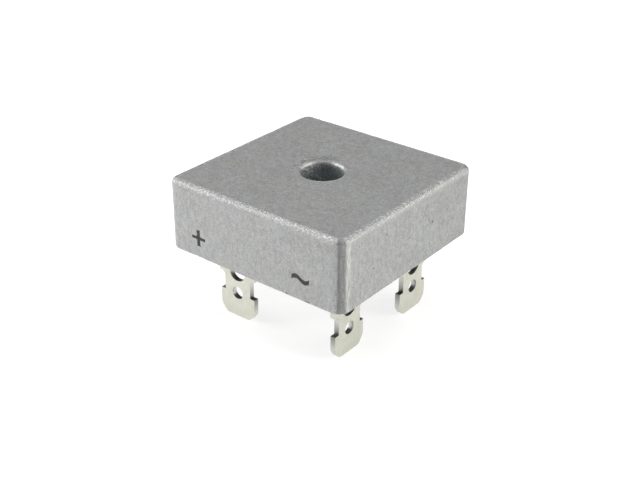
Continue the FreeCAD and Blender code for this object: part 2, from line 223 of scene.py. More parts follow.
def case_material():
    m = Nodes("blasted_aluminium")
    wear = m.attribute("wear")
    bore = m.attribute("bore")
    under = m.attribute("under")
    upright = m.attribute("upright")
    tick = m.attribute("tick")
    shaded = m.attribute("shaded")

    cloud = m.noise(5.0, 3, 0.55, shift=3.1)
    mottle = m.noise(0.9, 3, 0.6, shift=7.7)
    grain = m.noise(0.24, 2, 0.7, shift=1.3)
    speck = m.noise(0.13, 1, 0.5, shift=11.9)
    streak = m.noise(0.35, 2, 0.6, stretch=(1, 1, 26), shift=5.5)
    shade_mottle = m.noise(0.22, 3, 0.65, stretch=(1, 1, 9), shift=21.0)
    glint = m.noise(0.21, 2, 0.8, stretch=(1, 1, 1.5), shift=41.0)
    patch = m.noise(0.48, 2, 0.6, stretch=(1, 1, 2.0), shift=61.0)
    gleam = m.attribute("gleam")

    # colour: a light grey metal, clouded, with a fine salt-and-pepper grain
    light = m.math("ADD", m.span(0.3, 0.7, -0.030, 0.030, cloud), m.span(0.3, 0.7, -0.065, 0.065, mottle))
    salt = m.math("ADD", m.span(0.25, 0.75, -0.20, 0.20, grain), m.span(0.25, 0.75, -0.12, 0.12, patch))
    salt = m.math("MULTIPLY", salt, m.math("ADD", 0.90, m.math("MULTIPLY", upright, 0.10)))
    light = m.math("ADD", light, salt)
    light = m.math("ADD", light, m.span(0.25, 0.75, -0.11, 0.11, speck))
    side_streak = m.math("MULTIPLY", upright, m.span(0.3, 0.7, -0.022, 0.022, streak))
    light = m.math("ADD", light, side_streak)
    # painted light: the sides are lighter towards -X -Y and darker towards +X +Y
    painted_light_slope = m.span(-28.6 * MM, 28.6 * MM, 0.085, -0.085, m.math("ADD", m.x, m.y))
    light = m.math("ADD", light, m.math("MULTIPLY", upright, painted_light_slope))
    light = m.math("ADD", light, 1.0)
    warm = m.mix(m.span(0.35, 0.65, 0.0, 1.0, m.noise(2.6, 2, 0.5, shift=15.0)), (0.446, 0.454, 0.454), (0.455, 0.455, 0.447))
    metal = m.scaled(warm, light)
    # edges lightened by real wear and by painted highlight, with glinting specks
    bright = m.mix(m.span(0.46, 0.64, 0.0, 1.0, glint), (0.40, 0.405, 0.405), (0.80, 0.80, 0.795))
    metal_with_painted_light = m.mix(wear, metal, bright)
    # the colour of the gleam layer: painted highlight on the corners and the lip, and the bright tool marks
    lines = m.mix(m.span(0.36, 0.62, 0.0, 1.0, m.noise(0.20, 3, 0.65, stretch=(1, 1, 7), shift=71.0)), (0.37, 0.37, 0.355), (0.70, 0.70, 0.68))
    # painted highlight: the crescents on the far side of the hole's lip are brighter still
    from_axis = m.math("ADD", m.math("MULTIPLY", m.x, m.x), m.math("MULTIPLY", m.y, m.y))
    crescent = m.math("LESS_THAN", from_axis, (3.42 * MM) ** 2)
    crescent = m.math("MULTIPLY", crescent, m.math("GREATER_THAN", m.math("SUBTRACT", m.y, m.x), -0.5 * MM))
    ragged_highlight = m.span(0.42, 0.60, 0.10, 0.95, m.noise(0.30, 3, 0.7, shift=81.0))
    crescent = m.math("MULTIPLY", crescent, m.math("MULTIPLY", ragged_highlight, m.span(-2.6 * MM, 1.6 * MM, 0.62, 1.0, m.x)))
    lines = m.mix(crescent, lines, (0.93, 0.935, 0.935))
    metal_with_painted_light = m.mix(gleam, metal_with_painted_light, lines)
    # painted shade: darker streaks down the corners and on the far side of the lip
    metal_with_painted_light = m.mix(m.math("MULTIPLY", shaded, m.span(0.3, 0.65, 0.38, 0.68, shade_mottle)), metal_with_painted_light, (0.125, 0.125, 0.125))

    # small dark pits, few and scattered
    cell = m.cells(2.4, shift=0.4)
    chosen = m.step(0.78, 0.80, m.math("FRACT", m.math("MULTIPLY", cell.outputs["Color"], 1.0)))
    pit = m.math("MULTIPLY", m.math("SUBTRACT", 1.0, m.step(0.028, 0.055, cell.outputs["Distance"])), chosen)
    for px, py, pz in ((14.3, 4.9, 15.65), (14.3, -7.9, 14.35), (14.3, -5.5, 18.05), (5.8, -14.3, 10.62), (8.9, -14.28, 10.52), (9.25, -14.28, 10.60)):
        n = m.tree.nodes.new("ShaderNodeVectorMath")
        n.operation = "DISTANCE"
        m.link(m.coord, n.inputs[0])
        n.inputs[1].default_value = (px * MM, py * MM, pz * MM)
        ragged = m.math("ADD", n.outputs["Value"], m.span(0, 1, -0.00006, 0.00006, grain))
        pit = m.math("MAXIMUM", pit, m.math("SUBTRACT", 1.0, m.step(0.00010, 0.00019, ragged)))
    pit = m.math("MULTIPLY", pit, m.math("SUBTRACT", 1.0, m.math("MAXIMUM", bore, under, cut=True)))

    colour = m.mix(m.math("MULTIPLY", pit, 0.75), metal_with_painted_light, (0.10, 0.10, 0.10))
    colour = m.mix(m.math("MULTIPLY", tick, 0.86), colour, (0.11, 0.11, 0.11))
    # the bore: darkened with painted shade, with lighter torn specks on its left wall
    across = m.math("ADD", m.math("MULTIPLY", m.x, 0.785), m.math("MULTIPLY", m.y, 0.62))
    left = m.math("SUBTRACT", 1.0, m.math("MULTIPLY", m.step(-1.9 * MM, 0.6 * MM, across), 0.75))
    left = m.math("MULTIPLY", left, m.step(14.5 * MM, 17.5 * MM, m.z))
    torn = m.math("MULTIPLY", left, m.step(0.50, 0.60, m.noise(0.24, 2, 0.7, shift=51.0)))
    painted_shade = m.mix(torn, (0.245, 0.268, 0.275), (0.66, 0.67, 0.67))
    bore_shade = m.math("MULTIPLY", bore, m.span(0.35, 0.65, 0.84, 1.0, m.noise(0.7, 3, 0.6, shift=9.0)))
    colour = m.mix(bore_shade, colour, painted_shade)
    # painted shade: the underside and the inside of the cup are darker
    colour = m.mix(m.math("MULTIPLY", under, 0.35), colour, (0.30, 0.30, 0.30))

    # ink: a plus sign and a tilde, printed on the face that looks along -Y
    rag = m.span(0, 1, -0.00009, 0.00009, m.noise(0.16, 2, 0.6, shift=2.2))
    plus_x = m.math("ABSOLUTE", m.math("SUBTRACT", m.x, -9.06 * MM))
    plus_z = m.math("ABSOLUTE", m.math("SUBTRACT", m.z, 13.27 * MM))
    flat = m.math("MAXIMUM", m.math("SUBTRACT", plus_x, 1.15 * MM), m.math("SUBTRACT", plus_z, 0.21 * MM))
    tall = m.math("MAXIMUM", m.math("SUBTRACT", plus_x, 0.28 * MM), m.math("SUBTRACT", plus_z, 1.17 * MM))
    plus = m.math("MINIMUM", flat, tall)
    til_x = m.math("SUBTRACT", m.x, 7.96 * MM)
    line = m.math("MULTIPLY", m.math("SINE", m.math("MULTIPLY", til_x, math.pi / (1.35 * MM))), -0.28 * MM)
    off = m.math("ABSOLUTE", m.math("SUBTRACT", m.math("SUBTRACT", m.z, 13.4 * MM), line))
    off = m.math("SUBTRACT", m.math("MULTIPLY", off, 0.88), 0.265 * MM)
    tilde = m.math("MAXIMUM", off, m.math("SUBTRACT", m.math("ABSOLUTE", til_x), 1.38 * MM))
    near = m.math("ADD", m.math("MINIMUM", plus, tilde), rag)
    ink = m.math("SUBTRACT", 1.0, m.step(-0.00003, 0.00004, near))
    ink = m.math("MULTIPLY", ink, m.math("LESS_THAN", m.y, -14.1 * MM))
    ink = m.math("MULTIPLY", ink, m.span(0.30, 0.45, 0.80, 0.97, m.noise(0.3, 2, 0.6, shift=31.0)))
    colour = m.mix(ink, colour, (0.030, 0.031, 0.034))

    m.set("Base Color", colour)
    m.set("Metallic", m.math("SUBTRACT", 1.0, m.math("MULTIPLY", ink, 0.95), cut=True))
    rough = m.math("ADD", m.span(0.3, 0.7, 0.62, 0.70, mottle), m.math("MULTIPLY", wear, -0.05))
    rough = m.math("ADD", rough, m.math("MULTIPLY", ink, 0.10), cut=True)
    m.set("Roughness", rough)
    fine = m.math("ADD", m.math("MULTIPLY", grain, 0.6), m.math("MULTIPLY", speck, 0.4))
    normal = m.bump(fine, 0.055)
    normal = m.bump(m.math("MULTIPLY", wear, glint), 0.05, normal)
    normal = m.bump(mottle, 0.025, normal)
    normal = m.bump(m.math("MULTIPLY", m.math("ADD", upright, wear, cut=True), streak), 0.010, normal)
    normal = m.bump(m.math("SUBTRACT", 1.0, m.math("MAXIMUM", pit, tick)), 0.03, normal)
    m.link(normal, m.skin.inputs["Normal"])
    return m.mat


def tab_material():
    m = Nodes("tinned_sheet")
    grain = m.noise(0.22, 2, 0.6, shift=4.0)
    cloud = m.noise(1.6, 3, 0.6, shift=8.0)
    rolled = m.noise(0.16, 2, 0.6, stretch=(1, 1, 14), shift=2.0)
    tint = m.mix(m.span(0.35, 0.65, 0, 1, cloud), (0.640, 0.640, 0.552), (0.675, 0.673, 0.608))
    light = m.math("ADD", m.span(0.3, 0.7, -0.04, 0.04, grain), m.span(0.3, 0.7, -0.03, 0.03, cloud))
    light = m.math("ADD", m.math("ADD", light, m.span(0.3, 0.7, -0.02, 0.02, rolled)), 1.0)
    colour = m.scaled(tint, light)
    cut = m.attribute("cut")
    ledge_shade = m.attribute("ledge_shade")
    colour = m.mix(m.math("MULTIPLY", cut, 0.7), colour, (0.635, 0.640, 0.610))
    # painted light: the two tabs at -X are coloured a little lighter than those at +X
    colour = m.scaled(colour, m.span(-4.0 * MM, 4.0 * MM, 1.065, 0.930, m.x))
    # painted shade: the cut faces that look upwards are darkened
    colour = m.mix(m.math("MULTIPLY", ledge_shade, 0.88), colour, (0.17, 0.17, 0.16))
    m.set("Base Color", colour)
    m.set("Metallic", 0.92)
    rough = m.math("ADD", m.span(0.3, 0.7, 0.46, 0.56, cloud), m.math("MULTIPLY", cut, -0.12))
    m.set("Roughness", rough)
    normal = m.bump(grain, 0.012)
    normal = m.bump(cloud, 0.05, normal)
    normal = m.bump(rolled, 0.006, normal)
    m.link(normal, m.skin.inputs["Normal"])
    return m.mat


def resin_material():
    m = Nodes("black_resin")
    cloud = m.noise(4.0, 3, 0.55, shift=1.0)
    fine = m.noise(0.35, 2, 0.6, shift=6.0)
    tint = m.mix(m.span(0.3, 0.7, 0, 1, cloud), (0.022, 0.022, 0.024), (0.034, 0.034, 0.035))
    dust = m.math("MULTIPLY", m.step(0.62, 0.78, m.noise(0.5, 4, 0.7, shift=14.0)), 0.35)
    m.set("Base Color", m.mix(dust, tint, (0.085, 0.083, 0.080)))
    m.set("Roughness", m.span(0.3, 0.7, 0.26, 0.44, m.noise(1.4, 3, 0.6, shift=3.0)))
    bubble = m.cells(1.7, shift=0.7)
    chosen = m.step(0.70, 0.72, m.math("FRACT", m.math("MULTIPLY", bubble.outputs["Color"], 1.0)))
    hole = m.math("MULTIPLY", m.math("SUBTRACT", 1.0, m.step(0.05, 0.10, bubble.outputs["Distance"])), chosen)
    normal = m.bump(m.noise(3.0, 2, 0.5, shift=2.0), 0.10)
    normal = m.bump(fine, 0.010, normal)
    normal = m.bump(m.math("SUBTRACT", 1.0, hole), 0.05, normal)
    m.link(normal, m.skin.inputs["Normal"])
    return m.mat


def ceramic_material():
    m = Nodes("fired_ceramic")
    cloud = m.noise(2.0, 3, 0.6)
    m.set("Base Color", m.mix(m.span(0.3, 0.7, 0, 1, cloud), (0.82, 0.815, 0.78), (0.88, 0.88, 0.855)))
    m.set("Roughness", m.span(0.3, 0.7, 0.5, 0.62, cloud))
    m.link(m.bump(m.noise(0.2, 2, 0.6), 0.008), m.skin.inputs["Normal"])
    return m.mat


def die_material():
    m = Nodes("silicon")
    cloud = m.noise(1.2, 3, 0.6)
    m.set("Base Color", m.mix(m.span(0.3, 0.7, 0, 1, cloud), (0.10, 0.11, 0.14), (0.14, 0.145, 0.17)))
    m.set("Metallic", 0.55)
    m.set("Roughness", m.span(0.3, 0.7, 0.18, 0.28, cloud))
    m.link(m.bump(m.noise(0.15, 2, 0.6), 0.002), m.skin.inputs["Normal"])
    return m.mat


def solder_material():
    m = Nodes("solder_metal")
    cloud = m.noise(0.6, 3, 0.6)
    m.set("Base Color", m.mix(m.span(0.3, 0.7, 0, 1, cloud), (0.60, 0.61, 0.62), (0.70, 0.71, 0.72)))
    m.set("Metallic", 1.0)
    m.set("Roughness", m.span(0.3, 0.7, 0.22, 0.38, cloud))
    m.link(m.bump(m.noise(0.3, 2, 0.6), 0.01), m.skin.inputs["Normal"])
    return m.mat


def floor_material():
    m = Nodes("pale_floor")
    cloud = m.noise(40.0, 2, 0.5)
    m.set("Base Color", m.mix(m.span(0.3, 0.7, 0, 1, cloud), (0.430, 0.430, 0.430), (0.450, 0.450, 0.450)))
    m.set("Emission Color", (1.0, 1.0, 1.0))
    m.set("Emission Strength", 0.76)
    m.set("Roughness", m.span(0.3, 0.7, 0.72, 0.78, cloud))
    m.set("Specular IOR Level", 0.2)
    m.link(m.bump(m.noise(1.5, 2, 0.5), 0.004), m.skin.inputs["Normal"])
    return m.mat


# ------------------------------------------------------------------ case
SIDE_STEPS = 88
CORNER_STEPS = 18


def outline(half, radius):
    """Points of a square with round corners, anticlockwise from the -Y side's left end."""
    reach = half - radius
    points = []
    for side in range(4):
        a = math.radians(90 * side - 90)
        n = Vector((math.cos(a), math.sin(a)))
        t = Vector((-n.y, n.x))
        for i in range(SIDE_STEPS):
            points.append(n * half + t * (-reach + 2 * reach * i / SIDE_STEPS))
        centre = n * reach + t * reach
        for i in range(CORNER_STEPS):
            b = a + math.radians(90) * i / CORNER_STEPS
            points.append(centre + Vector((math.cos(b), math.sin(b))) * radius)
    return points


# tool marks round the screw hole: radius, first and last angle, and how dark (or, below 0, how bright)
MARKS = (
    (3.95, 108, 121, 0.9), (3.92, 128, 139, 1.0), (3.95, 143, 147, 0.6), (3.88, 152, 158, 0.9),
    (3.93, 162, 170, 1.0), (3.62, 172, 178, 0.6), (3.66, 140, 152, 0.5), (3.60, 118, 126, 0.5),
    (4.00, 190, 198, 0.6), (3.95, 206, 211, 0.4), (4.20, 157, 164, -0.9), (4.12, 174, 188, -1.0),
    (4.55, 166, 172, -0.6), (4.05, 94, 101, 0.4),
)


def build_case():
    rings = []   # (points, z, tags)
    rays = [p.normalized() for p in outline(HALF - TOP_ROUND, CORNER - TOP_ROUND)]

    def ring(points, z, **tags):
        rings.append(([(p.x, p.y, z) for p in points], tags))

    def circle(r):
        return [d * r for d in rays]

    # up the bore
    bottom, top = RIM + MOUTH, FACE - LIP
    for i in range(21):
        ring(circle(BORE), bottom + (top - bottom) * i / 20, bore=1.0)
    # over the lip
    for i in range(1, 10):
        a = math.radians(90) * i / 9
        ring(circle(BORE + LIP * (1 - math.cos(a))), FACE - LIP * (1 - math.sin(a)),
             bore=clamp(1.0 - i / 3.2), wear=clamp(0.10 + 0.6 * i / 9), lip=1.0)
    # out over the face: round rings near the hole, then rings that grow square
    r = BORE + LIP
    while r < 5.35:
        r += 0.075 if r < 4.7 else 0.12
        ring(circle(r), FACE, near=1.0, flat=1.0)
    start = r
    edge = outline(HALF - TOP_ROUND, CORNER - TOP_ROUND)
    for i in range(1, 31):
        t = i / 30
        ring([d * (start + (e.length - start) * t) for d, e in zip(rays, edge)], FACE,
             flat=1.0, wear=0.7 if i == 30 else 0.0)
    # over the shoulder, lightened with wear and painted highlight
    for i in range(1, 12):
        a = math.radians(90) * i / 11
        cut = TOP_ROUND * (1 - math.sin(a))
        ring(outline(HALF - cut, CORNER - cut), FACE - TOP_ROUND * (1 - math.cos(a)),
             wear=0.92 if i < 6 else 0.92 - 0.12 * (i - 5), edge=1.0)
    # down the sides
    side = outline(HALF, CORNER)
    low, high = RIM + RIM_ROUND, FACE - TOP_ROUND
    for i in range(1, 35):
        ring(side, high + (low - high) * i / 34, side=1.0)
    # round the rim
    for i in range(1, 6):
        a = math.radians(90) * i / 5
        cut = RIM_ROUND * (1 - math.cos(a))
        ring(outline(HALF - cut, CORNER - cut), low - RIM_ROUND * math.sin(a),
             wear=0.35, rim=1.0)
    a_ring = outline(HALF - RIM_ROUND, CORNER - RIM_ROUND)
    b_ring = outline(INNER, INNER_CORNER)
    for i in range(1, 6):
        t = i / 5
        ring([p.lerp(q, t) for p, q in zip(a_ring, b_ring)], RIM, rim=1.0, under=1.0)
    # up the inner wall, in along the ceiling, down the boss and across its end
    for i in range(1, 9):
        ring(b_ring, RIM + (CEILING - RIM) * i / 8, under=1.0)
    for i in range(1, 7):
        t = i / 6
        ring([p.lerp(d * BOSS, t) for p, d in zip(b_ring, rays)], CEILING, under=1.0)
    for i in range(1, 9):
        ring(circle(BOSS), CEILING + (RIM - CEILING) * i / 8, under=1.0)
    for i in range(1, 7):
        ring(circle(BOSS + (BORE + MOUTH - BOSS) * i / 6), RIM, under=1.0, rim=1.0)
    ring(circle(BORE + MOUTH * 0.5), RIM + MOUTH * 0.5, under=1.0, bore=0.4)

    bm = bmesh.new()
    layers = {key: bm.verts.layers.float.new(key) for key in ("wear", "bore", "under", "upright", "tick", "shaded", "gleam")}
    grid = []
    for points, tags in rings:
        row = []
        for p in points:
            v = bm.verts.new(p)
            for key in ("wear", "bore", "under"):
                v[layers[key]] = tags.get(key, 0.0)
            row.append(v)
        grid.append(row)
    count = len(grid[0])
    for i in range(len(grid)):
        a, b = grid[i], grid[(i + 1) % len(grid)]
        for k in range(count):
            bm.faces.new((a[k], a[(k + 1) % count], b[(k + 1) % count], b[k]))
    bmesh.ops.recalc_face_normals(bm, faces=bm.faces)
    bm.normal_update()

    # uneven surfaces: every move is inwards, so the outside box stays as it is
    moves = []
    reach = HALF - CORNER
    for row, (points, tags) in zip(grid, rings):
        for v in row:
            x, y, z = v.co
            d = 0.0
            corner = clamp(min(abs(x), abs(y)) - reach, 0, 1) if min(abs(x), abs(y)) > reach else 0.0
            if tags.get("edge"):
                d += 0.010 * (0.5 + 0.5 * wave(x, y, z, 2.2, 3.0)) + 0.014 * (0.5 + 0.5 * wave(x, y, z, 0.5, 8.0))
                d += 0.035 * smooth(0.62, 0.95, wave(x, y, z, 0.8, 17.0))
            if tags.get("side"):
                d += 0.010 * (0.5 + 0.5 * wave(x, y, z, 4.0, 5.0)) + 0.006 * (0.5 + 0.5 * wave(x, y, z / 6, 0.8, 6.0))
                d += 0.008 * corner * (0.5 + 0.5 * wave(x, y, z / 5, 0.7, 9.0))
            if tags.get("rim"):
                d += 0.025 * (0.5 + 0.5 * wave(x, y, z, 1.3, 2.0)) + 0.05 * smooth(0.45, 0.9, wave(x, y, z, 0.9, 13.0))
            if tags.get("bore") and not tags.get("lip"):
                d += -0.012 * (0.5 + 0.5 * wave(x, y, z, 0.8, 4.0))
            if tags.get("lip"):
                d += 0.030 * (0.5 + 0.5 * wave(x, y, z, 0.7, 7.0)) + 0.06 * smooth(0.35, 0.8, wave(x, y, z, 0.55, 21.0))
            if tags.get("near"):
                # broken tool marks in short arcs on the far and left side of the hole
                r = math.hypot(x, y)
                turn = math.degrees(math.atan2(y, x)) % 360
                hit, glow = 0.0, 0.0
                for at, start, end, deep in MARKS:
                    part = smooth(start - 1.5, start + 1.0, turn) * (1 - smooth(end - 1.0, end + 1.5, turn))
                    part *= math.exp(-((r - at - 0.03 * wave(turn * 0.05, at, 0, 0.5, 2.0)) / (0.15 if deep > 0 else 0.11)) ** 2)
                    if deep > 0:
                        hit = max(hit, deep * part * clamp(1.10 + 0.8 * wave(x, y, z, 0.30, 14.0)))
                    else:
                        glow = max(glow, -deep * part)
                d += 0.035 * hit
                # the metal between them and the far side of the lip is a little darker
                darker_band = smooth(3.45, 3.75, r) * (1 - smooth(4.55, 5.00, r)) * smooth(88, 108, turn) * (1 - smooth(140, 158, turn))
                v[layers["tick"]] = clamp(max(hit, darker_band * (0.22 + 0.14 * wave(x, y, z, 0.45, 31.0))))
                v[layers["gleam"]] = clamp(glow)
                # a thin painted highlight along the near side of the lip
                turn = (turn + 51) % 360
                turn = min(turn, 360 - turn)
                if r < 3.54:
                    v[layers["gleam"]] = 1 - smooth(12, 34, turn)
            if tags.get("side"):
                v[layers["upright"]] = 1.0
            if tags.get("side") or tags.get("edge"):
                # painted shade and painted highlight down each corner: a dark streak and a bright one side by side
                px, py = abs(x) - reach, abs(y) - reach
                if (x > 0) != (y < 0):
                    px, py = py, px
                if px > 0 and py > 0:
                    run = math.atan2(px, py) * CORNER
                elif py > 0 and px <= 0:
                    run = px
                else:
                    run = CORNER * math.pi / 2 - py
                run += 0.10 * wave(x, y, z / 5, 1.6, 12.0)
                low, mid, high = (0.66, 1.76, 2.70) if (x > 0 and y < 0) else (0.35, 1.10, 1.90)
                painted_shade = smooth(low - 0.14, low + 0.14, run) * (1 - smooth(mid - 0.10, mid + 0.10, run))
                painted_shade *= 1.0 - 0.35 * smooth(low + 0.20, low + 0.60, run)
                front = 1.0 if (x > 0 and y < 0) else 0.6
                v[layers["shaded"]] = front * painted_shade * (1.0 if tags.get("side") else 0.8)
                if tags.get("edge"):
                    v[layers["wear"]] *= 1.0 - 0.9 * painted_shade
                v[layers["gleam"]] = front * (0.9 if tags.get("side") else 0.35) * smooth(mid - 0.06, mid + 0.14, run) * (1 - smooth(high - 0.30, high + 0.15, run))
            if tags.get("lip"):
                # painted shade on the far side of the lip, between two painted highlight crescents
                turn = (math.degrees(math.atan2(y, x)) - 121) % 360
                gap = 1 - (smooth(14, 40, turn) if turn < 180 else smooth(10, 26, 360 - turn))
                v[layers["wear"]] *= 1 - 0.9 * gap
                v[layers["shaded"]] = 0.55 * gap
                # painted highlight: the thin bright line on the near side of the lip, and the bright crescents further
                # round
                turn = (math.degrees(math.atan2(y, x)) + 51) % 360
                turn = min(turn, 360 - turn)
                if z > FACE - 0.06:
                    v[layers["gleam"]] = 1 - smooth(12, 34, turn)
                elif BORE + 0.02 < math.hypot(x, y):
                    v[layers["gleam"]] = 0.85 * smooth(100, 120, turn) * (1 - gap)
            moves.append((v, v.normal.copy(), d))
    for v, n, d in moves:
        v.co -= n * d
    for v in bm.verts:
        v.co *= MM
    bm.normal_update()
    shade(bm, 32)
    return bm


# ------------------------------------------------------------------ resin
def tab_distance(x, y):
    best = 99.0
    for cx, cy, along_x in TABS.values():
        hx, hy = (ROOT_HALF, SHEET_HALF) if along_x else (SHEET_HALF, ROOT_HALF)
        dx, dy = max(abs(x - cx) - hx, 0.0), max(abs(y - cy) - hy, 0.0)
        best = min(best, math.hypot(dx, dy))
    return best


def wall_distance(x, y):
    reach = INNER - INNER_CORNER
    dx, dy = abs(x) - reach, abs(y) - reach
    if dx > 0 and dy > 0:
        return INNER_CORNER - math.hypot(dx, dy)
    return min(INNER - abs(x), INNER - abs(y))


def resin_rise(x, y):
    """How far the cast surface creeps up what it touches, and its slow waves."""
    wall = max(wall_distance(x, y), 0.0)
    boss = max(math.hypot(x, y) - BOSS, 0.0)
    tab = tab_distance(x, y)
    rise = 0.15 * math.exp(-wall / 0.42) + 0.13 * math.exp(-boss / 0.40) + 0.20 * math.exp(-tab / 0.38)
    rise += 0.030 * (0.5 + 0.5 * wave(x, y, 0, 5.0, 3.0)) + 0.012 * (0.5 + 0.5 * wave(x, y, 0, 1.3, 6.0))
    return min(rise, 0.27)


def build_resin(source):
    bm = bmesh.new()
    bm.from_mesh(source)
    for v in bm.verts:
        v.co /= MM
    bmesh.ops.remove_doubles(bm, verts=bm.verts, dist=1e-4)
    flat = [f for f in bm.faces if f.normal.z < -0.99 and all(abs(v.co.z - RESIN) < 1e-3 for v in f.verts)]
    bmesh.ops.delete(bm, geom=flat, context="FACES_ONLY")
    loose = [e for e in bm.edges if not e.link_faces]
    bmesh.ops.delete(bm, geom=loose, context="EDGES")
    for _ in range(8):
        long = [e for e in bm.edges if len(e.link_faces) == 1 and e.calc_length() > 0.30]
        if not long:
            break
        bmesh.ops.subdivide_edges(bm, edges=long, cuts=1)
    border = [e for e in bm.edges if len(e.link_faces) == 1]
    verts = []
    index = {}
    for e in border:
        for v in e.verts:
            if v not in index:
                index[v] = len(verts)
                verts.append(v)
    coords = [Vector((v.co.x, v.co.y)) for v in verts]
    edges = [(index[e.verts[0]], index[e.verts[1]]) for e in border]
    inner = []

    def free(x, y, gap):
        return (wall_distance(x, y) > gap and math.hypot(x, y) - BOSS > gap and tab_distance(x, y) > gap)

    step = 0.36
    n = int(INNER / step)
    for i in range(-n, n + 1):
        for j in range(-n, n + 1):
            x, y = i * step, j * step
            x += 0.05 * noise.noise(Vector((i * 0.7, j * 0.7, 1)))
            y += 0.05 * noise.noise(Vector((i * 0.7, j * 0.7, 9)))
            if free(x, y, 0.55):
                inner.append(Vector((x, y)))
    for gap, pitch in ((0.13, 0.24), (0.30, 0.28), (0.52, 0.34)):
        # rows of points that follow the walls, the boss and the tabs
        reach = INNER - gap
        k = int(2 * reach / pitch)
        for i in range(k + 1):
            t = -reach + 2 * reach * i / k
            for x, y in ((t, -reach), (t, reach), (-reach, t), (reach, t)):
                if free(x, y, gap - 0.01):
                    inner.append(Vector((x, y)))
        k = int(2 * math.pi * (BOSS + gap) / pitch)
        for i in range(k):
            a = 2 * math.pi * i / k
            x, y = (BOSS + gap) * math.cos(a), (BOSS + gap) * math.sin(a)
            if free(x, y, gap - 0.01):
                inner.append(Vector((x, y)))
        for cx, cy, along_x in TABS.values():
            hx, hy = (ROOT_HALF, SHEET_HALF) if along_x else (SHEET_HALF, ROOT_HALF)
            hx, hy = hx + gap, hy + gap
            loop = []
            for (x0, y0), (x1, y1) in (((-hx, -hy), (hx, -hy)), ((hx, -hy), (hx, hy)), ((hx, hy), (-hx, hy)), ((-hx, hy), (-hx, -hy))):
                k = max(1, int(math.hypot(x1 - x0, y1 - y0) / pitch))
                loop += [(x0 + (x1 - x0) * i / k, y0 + (y1 - y0) * i / k) for i in range(k)]
            for x, y in loop:
                if free(cx + x, cy + y, gap * 0.7):
                    inner.append(Vector((cx + x, cy + y)))
    result = geometry.delaunay_2d_cdt(coords + inner, edges, [], 0, 1e-5)
    points, faces, origin = result[0], result[2], result[3]
    made = []
    for i, p in enumerate(points):
        olds = [j for j in origin[i] if j < len(verts)]
        if olds:
            made.append(verts[olds[0]])
        else:
            made.append(bm.verts.new((p.x, p.y, RESIN)))
    added = []
    for f in faces:
        cx = sum(points[i].x for i in f) / len(f)
        cy = sum(points[i].y for i in f) / len(f)
        if free(cx, cy, 0.0):
            ring = [made[i] for i in f]
            if len(set(ring)) == len(ring) and bm.faces.get(ring) is None:
                added.append(bm.faces.new(ring))
    moved = set(v for f in added for v in f.verts)
    for v in moved:
        v.co.z = RESIN - resin_rise(v.co.x, v.co.y)
    bmesh.ops.recalc_face_normals(bm, faces=bm.faces)
    for v in bm.verts:
        v.co *= MM
    bm.normal_update()
    shade(bm, 38)
    open_edges = sum(1 for e in bm.edges if len(e.link_faces) != 2)
    print("resin faces", len(bm.faces), "open edges", open_edges)
    return bm


# ------------------------------------------------------------------ tabs
SHORT = 0.65
ROLL = 0.065


def rim_edges(bm, flat, top):
    """The edges between the two flats of the sheet and its cut faces, below a height."""
    rims = []
    for e in bm.edges:
        if len(e.link_faces) == 2 and max(v.co.z for v in e.verts) < top:
            low, high = sorted(abs(f.normal[flat]) for f in e.link_faces)
            if low < 0.1 and high > 0.9:
                rims.append(e)
    return rims


def finer_outline(bm, wide, flat):
    """Cut the short edges of the stamped outline into finer ones that follow the arc they stand for."""
    rims = rim_edges(bm, flat, 12.0)

    def spot(v):
        return round(v.co[wide], 3), round(v.co.z, 3)

    nearby = {}
    for e in rims:
        a, b = spot(e.verts[0]), spot(e.verts[1])
        nearby.setdefault(a, set()).add(b)
        nearby.setdefault(b, set()).add(a)

    def heading(p, q):
        """The way the outline runs at p, going on to q."""
        own = Vector(q) - Vector(p)
        others = [o for o in nearby[p] if o != q]
        if len(others) != 1:
            return own.normalized()
        before = Vector(p) - Vector(others[0])
        if own.angle(before) > math.radians(35):
            return own.normalized()
        if before.length > SHORT:
            return before.normalized()
        return (own.normalized() + before.normalized()).normalized()

    arcs, chosen = [], []
    for e in rims:
        a, b = spot(e.verts[0]), spot(e.verts[1])
        run = Vector(b) - Vector(a)
        if not 0.03 < run.length < SHORT:
            continue
        start, end = heading(a, b), -heading(b, a)
        if start.angle(run) < 0.01 and end.angle(run) < 0.01:
            continue
        arcs.append((Vector(a), Vector(b), start * run.length, end * run.length))
        chosen.append(e)
    old = set(bm.verts)
    bmesh.ops.subdivide_edges(bm, edges=chosen, cuts=2)
    for v in bm.verts:
        if v in old:
            continue
        p = Vector((v.co[wide], v.co.z))
        best = None
        for a, b, start, end in arcs:
            run = b - a
            t = (p - a).dot(run) / run.length_squared
            gap = (a + run * t - p).length
            if -0.01 < t < 1.01 and (best is None or gap < best[0]):
                best = (gap, t, a, b, start, end)
        if best is not None and best[0] < 0.01:
            _, t, a, b, start, end = best
            p = (a * (2 * t ** 3 - 3 * t ** 2 + 1) + start * (t ** 3 - 2 * t ** 2 + t)
                 + b * (-2 * t ** 3 + 3 * t ** 2) + end * (t ** 3 - t ** 2))
            v.co[wide], v.co.z = p
    bm.normal_update()


